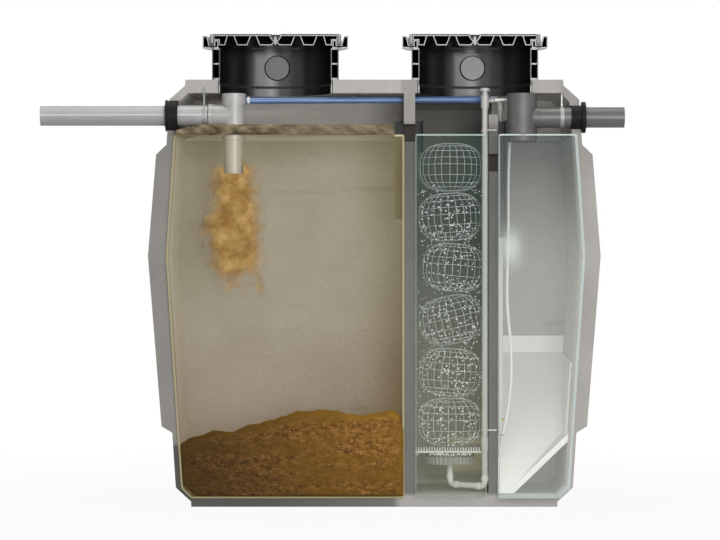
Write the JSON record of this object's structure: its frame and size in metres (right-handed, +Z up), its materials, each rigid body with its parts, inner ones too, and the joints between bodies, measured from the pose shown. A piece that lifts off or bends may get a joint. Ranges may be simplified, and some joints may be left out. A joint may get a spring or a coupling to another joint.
{
  "type": "packaged sewage treatment plant",
  "caption": "Cutaway packaged sewage treatment plant: concrete tank with settling, net-ball bioreactor and hopper clarifier chambers, ribbed access lids, drain pipes and sludge return",
  "frame": {"origin": "middle of the base underside of the half tank", "axes": "+X from inlet to outlet, +Y back from the cut, +Z up"},
  "size_m": [3.113, 0.934, 2.5195],
  "materials": {
    "concrete": "matte",
    "black_plastic": "matte",
    "dark_sheet": "matte",
    "rubber": "matte",
    "pale_pvc": "satin",
    "grey_pvc": "satin",
    "steel": "satin",
    "white_pvc": "satin",
    "blue_pipe": "satin",
    "hose": "satin",
    "net": "satin",
    "hopper_white": "satin",
    "sludge": "matte",
    "scum": "matte"
  },
  "bodies": {
    "root": {"base_slab": "concrete", "back_wall": "concrete", "inlet_end_wall": "concrete", "outlet_end_wall": "concrete", "roof_slab": "concrete", "first_partition": "concrete", "second_partition": "concrete", "inlet_riser": "black_plastic", "outlet_riser": "black_plastic", "inlet_lid_frame": "black_plastic", "outlet_lid_frame": "black_plastic", "inlet_lid": "black_plastic", "outlet_lid": "black_plastic", "settling_baffle": "dark_sheet", "reactor_baffle": "dark_sheet", "clarifier_baffle": "dark_sheet", "inlet_riser_seal": "rubber", "outlet_riser_seal": "rubber", "inlet_gasket": "rubber", "outlet_gasket": "rubber", "diffuser_membrane": "rubber", "inlet_pipe": "pale_pvc", "inlet_tee": "pale_pvc", "inlet_dip_pipe": "pale_pvc", "outlet_pipe": "grey_pvc", "outlet_tee": "grey_pvc", "diffuser_base": "grey_pvc", "inlet_hanger": "steel", "outlet_hanger": "steel", "air_pipe": "white_pvc", "air_tee": "white_pvc", "air_feed": "white_pvc", "air_pipe_clips": "white_pvc", "media_grate": "white_pvc", "grate_cleats": "white_pvc", "airlift_pipe": "white_pvc", "return_pipe": "blue_pipe", "airlift_hose": "hose", "net_ball_1": "net", "net_ball_2": "net", "net_ball_3": "net", "net_ball_4": "net", "net_ball_5": "net", "net_ball_6": "net", "hopper_end_plate": "hopper_white", "hopper_back_plate": "hopper_white", "settled_sludge": "sludge", "floating_scum": "scum"}
  },
  "joints": []
}
